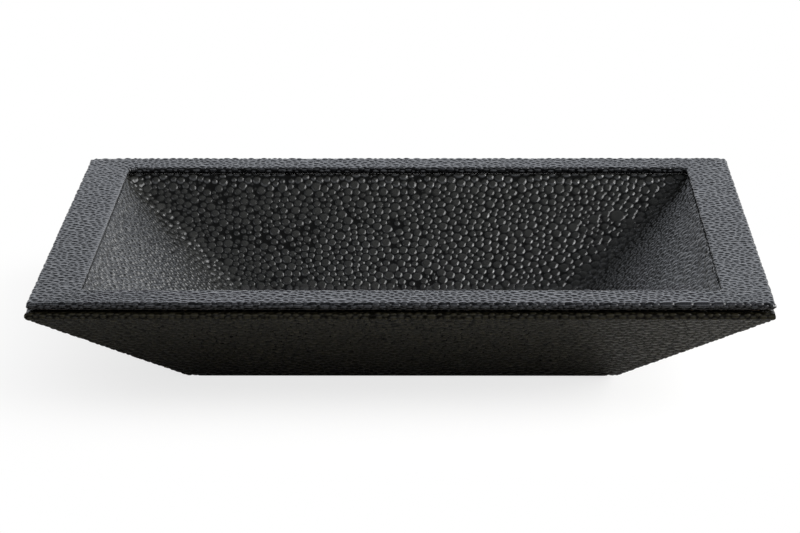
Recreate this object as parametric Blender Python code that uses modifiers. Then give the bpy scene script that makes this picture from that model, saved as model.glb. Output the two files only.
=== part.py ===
# Leather-covered trinket dish: a shallow rectangular tray with splayed walls.
#
# Four mitred wooden walls stand on a thin base board. Leather panels cover the outside,
# one piece of leather lines the inside with softly rounded valleys, and a flat rim, a
# board frame wrapped in leather, closes the top and leaves a dark groove below itself.
#
# Lengths are metres and +Z is up. The dish stands on z = 0 and the middle of its footprint
# is the origin. Its length runs along X, its depth along Y, and its front looks along -Y.
# An inset is a horizontal distance inward from the outermost face of the casing, the same
# on all four sides, so each section is drawn once as (inset, height) and used all round.

import math

import bmesh
import bpy
from mathutils import Matrix, Vector

# Overall size
OVERALL_WIDTH = 0.240
OVERALL_DEPTH = 0.200
OVERALL_HEIGHT = 0.040

# Sheet and board stock
LEATHER_THICKNESS = 0.0005
PAD_THICKNESS = 0.0006
BASE_BOARD_THICKNESS = 0.0020
RIM_BOARD_THICKNESS = 0.0008
PACKING_THICKNESS = 0.0005

# Clearance left for the glue between two pieces
GLUE_GAP = 0.0003

# Body: the walls lean outward, the outside a little flatter than the inside
OUTER_WALL_ANGLE = math.radians(35.0)
INNER_WALL_ANGLE = math.radians(37.5)
BAND_HEIGHT = 0.0021
MOUTH_INSET = 0.0151

# Lining: radii of the valleys between its walls, and of the cove round its floor
MOUTH_VALLEY_RADIUS = 0.0040
FLOOR_VALLEY_RADIUS = 0.0075
COVE_RADIUS = 0.0040

# Rim: the flat frame on top
RIM_WIDTH = 0.0156
RIM_SETBACK = 0.0003
RIM_BOARD_CORNER_RADIUS = 0.0012
WINDOW_CORNER_RADIUS = 0.0020
PACKING_SETBACK = 0.0030

# Inside radius of each leather fold
CASING_FOLD_RADIUS = 0.0003
CASING_FOOT_FOLD_RADIUS = 0.0005
MOUTH_FOLD_RADIUS = 0.0005
RIM_FOLD_RADIUS = 0.0003

# Leather turned over an edge and glued down
CASING_TOP_MARGIN = 0.0050
CASING_FOOT_MARGIN = 0.0080
LINING_MARGIN = 0.0050
RIM_MARGIN = 0.0045

# Pad under the base
PAD_SETBACK = 0.0030
PAD_CORNER_RADIUS = 0.0015

# Corner fillets behind the valleys: their thinnest edge, and where their hollow face starts
# as a share of the quarter turn
FILLET_EDGE_THICKNESS = 0.0002
FILLET_START_SHARE = 0.36

# Welding distance for meshes made from outlines, and the angle past which an edge is sharp
WELD_DISTANCE = 0.000001
SHARP_ANGLE = math.radians(35.0)

# Facets of each rounded stretch
FOLD_STEPS = 4
CORNER_STEPS = 5
VALLEY_STEPS = 10
COVE_STEPS = 6

# Heights, from the pad up and from the top down
CASING_BOTTOM = PAD_THICKNESS + GLUE_GAP
BASE_BOARD_BOTTOM = CASING_BOTTOM + LEATHER_THICKNESS + GLUE_GAP
BASE_BOARD_TOP = BASE_BOARD_BOTTOM + BASE_BOARD_THICKNESS
WALL_BOTTOM = BASE_BOARD_TOP + GLUE_GAP
FLOOR_HEIGHT = WALL_BOTTOM + LEATHER_THICKNESS

RIM_BOARD_TOP = OVERALL_HEIGHT - LEATHER_THICKNESS - GLUE_GAP
RIM_BOARD_BOTTOM = RIM_BOARD_TOP - RIM_BOARD_THICKNESS
RIM_BOTTOM = RIM_BOARD_BOTTOM - GLUE_GAP - LEATHER_THICKNESS
PACKING_TOP = RIM_BOTTOM - GLUE_GAP
PACKING_BOTTOM = PACKING_TOP - PACKING_THICKNESS
CASING_TOP = PACKING_BOTTOM - GLUE_GAP
WALL_TOP = CASING_TOP - LEATHER_THICKNESS - GLUE_GAP
BAND_BOTTOM = CASING_TOP - BAND_HEIGHT

# From a leather's outer surface to the wood behind it
COVER_DEPTH = LEATHER_THICKNESS + GLUE_GAP

# Insets that several pieces share
RIM_INNER_INSET = RIM_SETBACK + RIM_WIDTH
RIM_MIDDLE_INSET = RIM_SETBACK + RIM_WIDTH / 2
RIM_CORNER_RADIUS = RIM_BOARD_CORNER_RADIUS + COVER_DEPTH

# Each side: its name, its turn about Z, and its half length and half distance
SIDES = (
    ("front", 0.0, OVERALL_WIDTH / 2, OVERALL_DEPTH / 2),
    ("right", math.pi / 2, OVERALL_DEPTH / 2, OVERALL_WIDTH / 2),
    ("back", math.pi, OVERALL_WIDTH / 2, OVERALL_DEPTH / 2),
    ("left", -math.pi / 2, OVERALL_DEPTH / 2, OVERALL_WIDTH / 2),
)

# Each corner: its name and the signs of its X and Y
CORNERS = (
    ("front_left", -1, -1),
    ("front_right", 1, -1),
    ("back_right", 1, 1),
    ("back_left", -1, 1),
)


def clear_scene():
    for scene_object in list(bpy.data.objects):
        bpy.data.objects.remove(scene_object, do_unlink=True)


def make_material(name, colour, roughness):
    material = bpy.data.materials.new(name)
    material.use_nodes = True
    shader = material.node_tree.nodes["Principled BSDF"]
    shader.inputs["Base Color"].default_value = (*colour, 1.0)
    shader.inputs["Roughness"].default_value = roughness
    shader.inputs["Metallic"].default_value = 0.0
    material.diffuse_color = (*colour, 1.0)
    return material


def make_object(name, mesh, material, collection):
    made = bpy.data.objects.new(name, mesh)
    if not mesh.materials:
        mesh.materials.append(material)
    collection.objects.link(made)
    return made


def finish_mesh(bm, name):
    """Turn a closed bmesh into a mesh whose rounded faces are shaded smooth."""
    bmesh.ops.recalc_face_normals(bm, faces=bm.faces)
    mesh = bpy.data.meshes.new(name)
    bm.to_mesh(mesh)
    bm.free()
    shade_rounded(mesh)
    return mesh


def shade_rounded(mesh):
    mesh.shade_smooth()
    mesh.set_sharp_from_angle(angle=SHARP_ANGLE)


# Lines and sections, drawn as (inset, height)

def outer_inset(height, depth=0.0):
    """Inset of the casing's sloping face at a height, a depth square to the face below it."""
    drop = BAND_BOTTOM - height
    return drop / math.tan(OUTER_WALL_ANGLE) + depth / math.sin(OUTER_WALL_ANGLE)


def inner_inset(height, depth=0.0):
    """Inset of the lining's wall at a height, a depth square to the face behind it."""
    drop = CASING_TOP - height
    return MOUTH_INSET + drop / math.tan(INNER_WALL_ANGLE) - depth / math.sin(INNER_WALL_ANGLE)


def offset_line(points, distance):
    """Copy of an open line, moved to its left-hand side by a distance."""
    directions = [(b - a).normalized() for a, b in zip(points, points[1:])]
    sides = [Vector((-d.y, d.x)) for d in directions]
    moved = [points[0] + sides[0] * distance]
    for point, before, after in zip(points[1:-1], sides, sides[1:]):
        moved.append(point + (before + after) * distance / (1.0 + before.dot(after)))
    moved.append(points[-1] + sides[-1] * distance)
    return moved


def round_corner(before, corner, after, radius, steps):
    """Points of the arc that replaces one corner of a line."""
    to_before = (before - corner).normalized()
    to_after = (after - corner).normalized()
    half_angle = to_before.angle(to_after) / 2
    reach = radius / math.tan(half_angle)
    centre = corner + (to_before + to_after).normalized() * radius / math.sin(half_angle)
    first = corner + to_before * reach - centre
    last = corner + to_after * reach - centre
    turn = -first.angle_signed(last)
    return [centre + Matrix.Rotation(turn * k / steps, 2) @ first for k in range(steps + 1)]


def round_line(points, radii, steps):
    """Open line with each inner corner rounded to its own radius, in its own number of steps."""
    line = [points[0]]
    for k, (radius, count) in enumerate(zip(radii, steps), start=1):
        line += round_corner(points[k - 1], points[k], points[k + 1], radius, count)
    line.append(points[-1])
    return line


def casing_leather_section():
    """An outer leather panel, folded over the top edge of its wall and under the base."""
    foot = outer_inset(CASING_BOTTOM)
    corners = [
        Vector((CASING_TOP_MARGIN, CASING_TOP)),
        Vector((0.0, CASING_TOP)),
        Vector((0.0, BAND_BOTTOM)),
        Vector((foot, CASING_BOTTOM)),
        Vector((foot + CASING_FOOT_MARGIN, CASING_BOTTOM)),
    ]
    folds = [CASING_FOLD_RADIUS, CASING_FOLD_RADIUS, CASING_FOOT_FOLD_RADIUS]
    steps = [FOLD_STEPS] * len(folds)
    outer = round_line(corners, [fold + LEATHER_THICKNESS for fold in folds], steps)
    inner = round_line(offset_line(corners, LEATHER_THICKNESS), folds, steps)
    return outer + inner[::-1]


def wall_section():
    """A wooden wall: a splayed board whose thin top edge is cut square below the rim."""
    band_foot = outer_inset(0.0, COVER_DEPTH) - COVER_DEPTH
    return [
        Vector((inner_inset(WALL_TOP, COVER_DEPTH), WALL_TOP)),
        Vector((COVER_DEPTH, WALL_TOP)),
        Vector((COVER_DEPTH, band_foot * math.tan(OUTER_WALL_ANGLE))),
        Vector((outer_inset(WALL_BOTTOM, COVER_DEPTH), WALL_BOTTOM)),
        Vector((inner_inset(WALL_BOTTOM, COVER_DEPTH), WALL_BOTTOM)),
    ]


def lining_line():
    """Visible side of the lining: margin, folded mouth, sloping wall, cove and floor."""
    floor_corner = Vector((inner_inset(FLOOR_HEIGHT), FLOOR_HEIGHT))
    corners = [
        Vector((MOUTH_INSET - LINING_MARGIN, CASING_TOP)),
        Vector((MOUTH_INSET, CASING_TOP)),
        floor_corner,
        floor_corner + Vector((COVE_RADIUS, 0.0)),
    ]
    radii = [MOUTH_FOLD_RADIUS + LEATHER_THICKNESS, COVE_RADIUS]
    return round_line(corners, radii, [FOLD_STEPS, COVE_STEPS])


def rim_line():
    """Visible side of the rim leather: outer margin, edge, top, inner edge and inner margin."""
    corners = [
        Vector((RIM_SETBACK + RIM_MARGIN, RIM_BOTTOM)),
        Vector((RIM_SETBACK, RIM_BOTTOM)),
        Vector((RIM_SETBACK, OVERALL_HEIGHT)),
        Vector((RIM_INNER_INSET, OVERALL_HEIGHT)),
        Vector((RIM_INNER_INSET, RIM_BOTTOM)),
        Vector((RIM_INNER_INSET - RIM_MARGIN, RIM_BOTTOM)),
    ]
    folds = len(corners) - 2
    radii = [RIM_FOLD_RADIUS + LEATHER_THICKNESS] * folds
    return round_line(corners, radii, [FOLD_STEPS] * folds)


# Corner radii in plan, along those lines

def valley_growth():
    """How much the valley radius grows for each unit of depth."""
    return (FLOOR_VALLEY_RADIUS - MOUTH_VALLEY_RADIUS) / (CASING_TOP - FLOOR_HEIGHT)


def valley_radius(height):
    return MOUTH_VALLEY_RADIUS + (CASING_TOP - height) * valley_growth()


def lining_corner(point):
    margin = max(MOUTH_INSET - point.x, 0.0)
    return valley_radius(point.y) + margin


def rim_corner(point):
    if point.x > RIM_MIDDLE_INSET:
        return WINDOW_CORNER_RADIUS + RIM_INNER_INSET - point.x
    return max(RIM_CORNER_RADIUS + RIM_SETBACK - point.x, RIM_BOARD_CORNER_RADIUS)


# Solids

def plan_outline(inset, radius, steps):
    """Counter-clockwise rounded rectangle at an inset, seen from above."""
    points = []
    for quarter, (_, sign_x, sign_y) in enumerate(CORNERS):
        centre_x = sign_x * (OVERALL_WIDTH / 2 - inset - radius)
        centre_y = sign_y * (OVERALL_DEPTH / 2 - inset - radius)
        for k in range(steps + 1):
            angle = math.pi + (quarter + k / steps) * math.pi / 2
            points.append((centre_x + radius * math.cos(angle), centre_y + radius * math.sin(angle)))
    return points


def outline_solid(name, outlines, height):
    """Closed mesh from flat outlines, filled and given a height half above and half below."""
    curve = bpy.data.curves.new(name, "CURVE")
    curve.dimensions = "2D"
    curve.fill_mode = "BOTH"
    curve.extrude = height / 2
    for outline in outlines:
        spline = curve.splines.new("POLY")
        spline.points.add(len(outline) - 1)
        for spline_point, point in zip(spline.points, outline):
            spline_point.co = (point[0], point[1], 0.0, 1.0)
        spline.use_cyclic_u = True
    drawn = bpy.data.objects.new(name, curve)
    bpy.context.scene.collection.objects.link(drawn)
    evaluated = drawn.evaluated_get(bpy.context.evaluated_depsgraph_get())
    mesh = bpy.data.meshes.new_from_object(evaluated)
    bpy.data.objects.remove(drawn)
    bpy.data.curves.remove(curve)
    bm = bmesh.new()
    bm.from_mesh(mesh)
    bpy.data.meshes.remove(mesh)
    bmesh.ops.remove_doubles(bm, verts=bm.verts, dist=WELD_DISTANCE)
    return bm


def saw_mitre(bm, corner, direction):
    """Cut a bar along the upright plane through a corner, less half the glue gap."""
    geometry = bm.verts[:] + bm.edges[:] + bm.faces[:]
    cut = bmesh.ops.bisect_plane(
        bm,
        geom=geometry,
        plane_co=corner - direction * GLUE_GAP / 2,
        plane_no=direction,
        clear_outer=True,
    )
    edges = [item for item in cut["geom_cut"] if isinstance(item, bmesh.types.BMEdge)]
    bmesh.ops.edgeloop_fill(bm, edges=edges)


def mitred_bar(name, section, half_length, distance):
    """A section run along the front and cut at both corners like a picture-frame moulding."""
    bm = outline_solid(name, [section], half_length * 2)
    inward, upward = Vector((0.0, 1.0, 0.0)), Vector((0.0, 0.0, 1.0))
    turned = Matrix((inward, upward, inward.cross(upward))).transposed().to_4x4()
    bmesh.ops.transform(bm, matrix=Matrix.Translation(-inward * distance) @ turned, verts=bm.verts)
    for sign in (-1.0, 1.0):
        corner = Vector((sign * half_length, -distance, 0.0))
        saw_mitre(bm, corner, Vector((sign, 1.0, 0.0)).normalized())
    return finish_mesh(bm, name)


def four_bars(prefix, section, material, collection):
    """One mitred bar on each side; opposite sides share a mesh."""
    meshes = {}
    for side, turn, half_length, distance in SIDES:
        if half_length not in meshes:
            meshes[half_length] = mitred_bar(prefix, section, half_length, distance)
        bar = make_object(f"{prefix}_{side}", meshes[half_length], material, collection)
        bar.rotation_euler.z = turn


def add_ring(bm, point, radius, steps):
    outline = plan_outline(point.x, radius, steps)
    return [bm.verts.new((x, y, point.y)) for x, y in outline]


def skin_rings(bm, rings):
    for ring, following in zip(rings, rings[1:]):
        for k in range(len(ring)):
            bm.faces.new((ring[k - 1], ring[k], following[k], following[k - 1]))


def wrapped_leather(name, line, corner_radius, steps, filled, material, collection):
    """Leather skin that runs round all four sides along a line, thickened behind it."""
    bm = bmesh.new()
    rings = [add_ring(bm, point, corner_radius(point), steps) for point in line]
    skin_rings(bm, rings)
    if filled:
        bm.faces.new(rings[-1])
    mesh = bpy.data.meshes.new(name)
    bm.to_mesh(mesh)
    bm.free()
    shade_rounded(mesh)
    leather = make_object(name, mesh, material, collection)
    wall = leather.modifiers.new("leather thickness", "SOLIDIFY")
    wall.thickness = LEATHER_THICKNESS
    wall.offset = -1.0
    wall.use_even_offset = True
    return leather


def flat_plate(name, outlines, bottom, top, material, collection):
    mesh = finish_mesh(outline_solid(name, outlines, top - bottom), name)
    plate = make_object(name, mesh, material, collection)
    plate.location.z = (bottom + top) / 2
    return plate


def make_base_board(material, collection):
    """Thin board under the walls, its edges planed to the slope of the casing."""
    bm = bmesh.new()
    bmesh.ops.create_cube(bm, size=1.0)
    for vertex in bm.verts:
        height = BASE_BOARD_TOP if vertex.co.z > 0.0 else BASE_BOARD_BOTTOM
        inset = outer_inset(height, COVER_DEPTH)
        half_x = OVERALL_WIDTH / 2 - inset
        half_y = OVERALL_DEPTH / 2 - inset
        vertex.co = (math.copysign(half_x, vertex.co.x), math.copysign(half_y, vertex.co.y), height)
    return make_object("base_board", finish_mesh(bm, "base_board"), material, collection)


def fillet_outline(height):
    """Plan of a corner fillet at a height: insets along X and along Y from the outer corner."""
    surface = inner_inset(height)
    back = inner_inset(height, COVER_DEPTH - GLUE_GAP)
    radius = valley_radius(height)
    centre = surface + radius
    growth = valley_growth()
    retreat = 1.0 / math.tan(INNER_WALL_ANGLE) + growth
    start = FILLET_START_SHARE * math.pi / 2
    hollow = []
    for k in range(VALLEY_STEPS + 1):
        angle = start + (math.pi / 2 - 2 * start) * k / VALLEY_STEPS
        steepness = retreat * (math.cos(angle) + math.sin(angle)) - growth
        reach = radius + COVER_DEPTH * math.hypot(1.0, steepness)
        inset_x = max(centre - reach * math.cos(angle), back + FILLET_EDGE_THICKNESS)
        inset_y = max(centre - reach * math.sin(angle), back + FILLET_EDGE_THICKNESS)
        hollow.append((inset_x, inset_y))
    return [(back, back), (back, hollow[0][1]), *hollow, (hollow[-1][0], back)]


def make_corner_fillet(corner, sign_x, sign_y, material, collection):
    """Hollow-faced strip that fills the corner between two walls behind a valley."""
    bm = bmesh.new()
    rings = []
    for height in (WALL_BOTTOM, WALL_TOP):
        ring = []
        for inset_x, inset_y in fillet_outline(height):
            x = sign_x * (OVERALL_WIDTH / 2 - inset_x)
            y = sign_y * (OVERALL_DEPTH / 2 - inset_y)
            ring.append(bm.verts.new((x, y, height)))
        bm.faces.new(ring)
        rings.append(ring)
    skin_rings(bm, rings)
    name = f"corner_fillet_{corner}"
    return make_object(name, finish_mesh(bm, name), material, collection)


def make_rim_board(material, collection):
    outer = plan_outline(RIM_SETBACK + COVER_DEPTH, RIM_BOARD_CORNER_RADIUS, CORNER_STEPS)
    window_radius = WINDOW_CORNER_RADIUS + COVER_DEPTH
    window = plan_outline(RIM_INNER_INSET - COVER_DEPTH, window_radius, CORNER_STEPS)
    return flat_plate("rim_board", [outer, window], RIM_BOARD_BOTTOM, RIM_BOARD_TOP, material, collection)


def make_rim_packing(material, collection):
    insets = (RIM_SETBACK + PACKING_SETBACK, RIM_INNER_INSET - PACKING_SETBACK)
    outlines = [plan_outline(inset, RIM_BOARD_CORNER_RADIUS, CORNER_STEPS) for inset in insets]
    return flat_plate("rim_packing", outlines, PACKING_BOTTOM, PACKING_TOP, material, collection)


def make_base_pad(material, collection):
    inset = outer_inset(CASING_BOTTOM) + PAD_SETBACK
    outline = plan_outline(inset, PAD_CORNER_RADIUS, CORNER_STEPS)
    return flat_plate("base_pad", [outline], 0.0, PAD_THICKNESS, material, collection)


def build_dish():
    clear_scene()
    dish = bpy.data.collections.new("trinket_dish")
    bpy.context.scene.collection.children.link(dish)

    casing_black = make_material("casing_leather", (0.020, 0.020, 0.019), 0.50)
    lining_black = make_material("lining_leather", (0.028, 0.029, 0.030), 0.42)
    rim_black = make_material("rim_leather", (0.030, 0.031, 0.034), 0.38)
    pad_black = make_material("pad_suede", (0.016, 0.015, 0.015), 0.95)
    wood = make_material("wall_wood", (0.44, 0.29, 0.16), 0.75)
    plywood = make_material("base_plywood", (0.52, 0.37, 0.21), 0.75)
    card = make_material("rim_card", (0.33, 0.31, 0.28), 0.90)

    make_base_pad(pad_black, dish)
    make_base_board(plywood, dish)
    four_bars("wall", wall_section(), wood, dish)
    for corner, sign_x, sign_y in CORNERS:
        make_corner_fillet(corner, sign_x, sign_y, wood, dish)
    four_bars("casing_leather", casing_leather_section(), casing_black, dish)
    wrapped_leather("lining_leather", lining_line(), lining_corner, VALLEY_STEPS, True, lining_black, dish)
    make_rim_packing(card, dish)
    make_rim_board(card, dish)
    wrapped_leather("rim_leather", rim_line(), rim_corner, CORNER_STEPS, False, rim_black, dish)


build_dish()
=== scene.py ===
import math

import bpy
import numpy as np
from mathutils import Matrix, Vector
from mathutils.geometry import delaunay_2d_cdt
from mathutils.kdtree import KDTree


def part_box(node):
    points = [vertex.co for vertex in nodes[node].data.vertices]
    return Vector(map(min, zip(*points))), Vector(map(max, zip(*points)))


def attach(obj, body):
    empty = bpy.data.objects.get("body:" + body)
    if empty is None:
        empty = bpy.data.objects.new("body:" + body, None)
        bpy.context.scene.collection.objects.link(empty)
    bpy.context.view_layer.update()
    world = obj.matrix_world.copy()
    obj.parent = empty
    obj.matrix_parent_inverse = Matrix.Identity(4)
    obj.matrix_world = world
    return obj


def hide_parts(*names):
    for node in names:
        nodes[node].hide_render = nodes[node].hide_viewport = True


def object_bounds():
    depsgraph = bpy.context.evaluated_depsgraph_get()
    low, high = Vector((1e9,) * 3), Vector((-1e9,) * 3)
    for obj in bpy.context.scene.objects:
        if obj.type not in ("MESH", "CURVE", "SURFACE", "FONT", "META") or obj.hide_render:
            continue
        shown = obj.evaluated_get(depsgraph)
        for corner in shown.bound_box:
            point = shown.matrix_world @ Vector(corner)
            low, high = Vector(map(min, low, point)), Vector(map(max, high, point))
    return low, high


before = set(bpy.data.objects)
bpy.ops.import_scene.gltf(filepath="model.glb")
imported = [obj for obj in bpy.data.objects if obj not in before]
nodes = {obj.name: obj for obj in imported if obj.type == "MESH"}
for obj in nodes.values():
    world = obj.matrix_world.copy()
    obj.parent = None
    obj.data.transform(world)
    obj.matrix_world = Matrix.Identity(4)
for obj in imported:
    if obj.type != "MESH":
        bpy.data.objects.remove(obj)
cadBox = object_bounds()
print("frame loaded,", len(nodes), "solids")

# Sizes the leather pieces share, in metres. An inset is a level distance inward from the
# outermost face of the casing, the same on all four sides.
dish = {
    "halfWidth": cadBox[1].x,
    "halfDepth": cadBox[1].y,
    "top": cadBox[1].z,
    "leather": 0.0006,  # with its glue
    "casingTop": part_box("casing_leather_front")[1].z,
    "casingBottom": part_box("casing_leather_front")[0].z,
    "floorHeight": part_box("lining_leather")[0].z + 0.0005,  # the solid lining is this thick
    "rimBottom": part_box("rim_leather")[0].z,
    "outerAngle": math.radians(35.0),
    "innerAngle": math.radians(37.5),
}

# Each side: its name, its quarter turns about Z, and whether its length runs along X
sides = (("front", 0, True), ("right", 1, False), ("back", 2, True), ("left", 3, False))


def sideReach(isLong):
    # half of the side's length, and its distance from the middle
    reach = (dish["halfWidth"], dish["halfDepth"])
    return reach if isLong else reach[::-1]


# Nodes

def addNode(tree, kind, inputs=None, **settings):
    # inputs go by name or number; a socket is linked and anything else is a plain value
    made = tree.nodes.new(kind)
    for name, value in settings.items():
        setattr(made, name, value)
    for key, value in (inputs or {}).items():
        socket = made.inputs[key]
        if isinstance(value, bpy.types.NodeSocket):
            tree.links.new(value, socket)
        else:
            socket.default_value = value
    return made


def calculate(tree, operation, a, b=0.0, clamp=False):
    made = addNode(tree, "ShaderNodeMath", {0: a, 1: b}, operation=operation, use_clamp=clamp)
    return made.outputs[0]


def calculateVector(tree, operation, a, b=(0.0, 0.0, 0.0)):
    return addNode(tree, "ShaderNodeVectorMath", {0: a, 1: b}, operation=operation).outputs[0]


def scaleVector(tree, vector, scale):
    made = addNode(tree, "ShaderNodeVectorMath", {0: vector, "Scale": scale}, operation="SCALE")
    return made.outputs[0]


def measureVector(tree, operation, a, b=(0.0, 0.0, 0.0)):
    return addNode(tree, "ShaderNodeVectorMath", {0: a, 1: b}, operation=operation).outputs["Value"]


def stretch(tree, value, factor, offset):
    made = addNode(tree, "ShaderNodeMath", {0: value, 1: factor, 2: offset}, operation="MULTIPLY_ADD")
    return made.outputs[0]


def ramp(tree, value, ends, results=(0.0, 1.0), kind="LINEAR"):
    # between the two ends the value goes from the one result to the other
    inputs = {"Value": value}
    inputs["From Min"], inputs["From Max"] = ends
    inputs["To Min"], inputs["To Max"] = results
    return addNode(tree, "ShaderNodeMapRange", inputs, interpolation_type=kind).outputs[0]


def blendColours(tree, share, one, other):
    inputs = {0: share, 6: (*one, 1.0), 7: (*other, 1.0)}
    return addNode(tree, "ShaderNodeMix", inputs, data_type="RGBA", clamp_factor=True).outputs[2]


def noise(tree, place, scale, detail):
    made = addNode(tree, "ShaderNodeTexNoise", {"Vector": place, "Scale": scale, "Detail": detail})
    return made.outputs[0]


# Camera

camera = {
    "lens": 148.42,
    "sensor": 36.0,
    "clip": (0.05, 50.0),
    "place": (0.01614, -1.1086, 0.3289),
    "tilt": math.radians(15.348),
    "yaw": math.radians(-0.907),
    "roll": math.radians(-0.231),
}


def aimCamera(look):
    forward = Vector((
        math.sin(look["yaw"]) * math.cos(look["tilt"]),
        math.cos(look["yaw"]) * math.cos(look["tilt"]),
        -math.sin(look["tilt"]),
    ))
    level = Vector((math.cos(look["yaw"]), -math.sin(look["yaw"]), 0.0))
    upright = level.cross(forward)
    cosine, sine = math.cos(look["roll"]), math.sin(look["roll"])
    right = level * cosine + upright * sine
    up = upright * cosine - level * sine
    made = bpy.data.objects.new("camera", bpy.data.cameras.new("camera"))
    made.data.lens = look["lens"]
    made.data.sensor_width = look["sensor"]
    made.data.clip_start, made.data.clip_end = look["clip"]
    turned = Matrix((right, up, -forward)).transposed().to_4x4()
    made.matrix_world = Matrix.Translation(look["place"]) @ turned
    bpy.context.scene.collection.objects.link(made)
    bpy.context.scene.camera = made


aimCamera(camera)
print("camera set")


# Studio

studio = {
    "backdrop": (1.0, 0.18),  # its strength low down and high up
    "backdropEnds": (0.385, 0.83),  # it darkens between these steepnesses
    "cool": (0.915, 0.96, 1.05),  # its colour above the horizon
    "coolGain": 4.0,  # how soon that colour sets in
    "leftEnds": (-0.35, 0.0),  # mirrored, it also darkens to the left between these directions
    "leftDim": 0.75,  # to this share
    "roomLight": 0.27,  # what the room adds to every surface
    "roomColour": (0.97, 0.99, 1.02),
    "floorColour": (0.90, 0.89, 0.87),
    "floorReach": 0.55,
    "floorFade": 0.45,  # beyond its reach it fades out over this width
    "floorWhite": (0.76, 1.0),  # plain white's share of its picture, at the foot and away from it
    "shadowReach": 0.110,  # over this distance from the foot the share grows
    "frontEnds": (-0.12, -0.20),  # mirrored, the floor carries painted shade between these distances in front of the middle
    "frontDark": (0.52, 0.95),  # by these shares
    "backEnds": (0.00, 0.30),  # mirrored, it turns white between these distances behind the middle
    "foot": (0.072, 0.052),  # half the width and depth of the foot
    "lamps": (
        # name, place, width across the light's lean, length, watts
        ("keyLamp", (1.33, -0.10, 1.20), 1.00, 2.40, 33.0),
        ("sideLamp", (1.45, -0.25, 0.50), 0.70, 1.20, 42.0),
        ("fillLamp", (-1.10, -0.70, 0.90), 0.80, 0.80, 1.0),
    ),
}


def seenInMirror(tree):
    path = addNode(tree, "ShaderNodeLightPath").outputs
    return calculate(tree, "MAXIMUM", path["Is Glossy Ray"], path["Is Transmission Ray"])


def seenAsPicture(tree):
    # 1 for rays that show the background: the camera's, mirrored and refracted ones
    path = addNode(tree, "ShaderNodeLightPath").outputs
    return calculate(tree, "MAXIMUM", seenInMirror(tree), path["Is Camera Ray"])


def mixShaders(tree, share, one, other):
    return addNode(tree, "ShaderNodeMixShader", {0: share, 1: one.outputs[0], 2: other.outputs[0]})


def lightStudio(look):
    scene = bpy.context.scene
    scene.view_settings.view_transform = "Standard"
    world = bpy.data.worlds.new("studioWorld")
    scene.world = world
    world.use_nodes = True
    tree = world.node_tree
    tree.nodes.clear()
    roomColour = (*look["roomColour"], 1.0)
    room = addNode(tree, "ShaderNodeBackground", {"Color": roomColour, "Strength": look["roomLight"]})
    direction = addNode(tree, "ShaderNodeTexCoord").outputs["Generated"]
    parts = addNode(tree, "ShaderNodeSeparateXYZ", {0: direction}).outputs
    strength = ramp(tree, parts["Z"], look["backdropEnds"], look["backdrop"], "SMOOTHSTEP")
    sideways = ramp(tree, parts["X"], look["leftEnds"], (look["leftDim"], 1.0), "SMOOTHSTEP")
    path = addNode(tree, "ShaderNodeLightPath").outputs
    sideways = calculate(tree, "MAXIMUM", sideways, path["Is Camera Ray"])
    strength = calculate(tree, "MULTIPLY", strength, sideways)
    cooled = calculate(tree, "MULTIPLY", parts["Z"], look["coolGain"])
    tint = blendColours(tree, cooled, (1.0, 1.0, 1.0), look["cool"])
    backdrop = addNode(tree, "ShaderNodeBackground", {"Color": tint, "Strength": strength})
    mixed = mixShaders(tree, seenAsPicture(tree), room, backdrop)
    addNode(tree, "ShaderNodeOutputWorld", {"Surface": mixed.outputs[0]})

    for name, place, width, length, watts in look["lamps"]:
        lamp = bpy.data.lights.new(name, "AREA")
        lamp.shape = "RECTANGLE"
        lamp.size, lamp.size_y, lamp.energy = length, width, watts
        made = bpy.data.objects.new(name, lamp)
        made.location = place
        made.rotation_mode = "QUATERNION"
        made.rotation_quaternion = (-Vector(place)).to_track_quat("-Z", "Y")
        scene.collection.objects.link(made)


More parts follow.
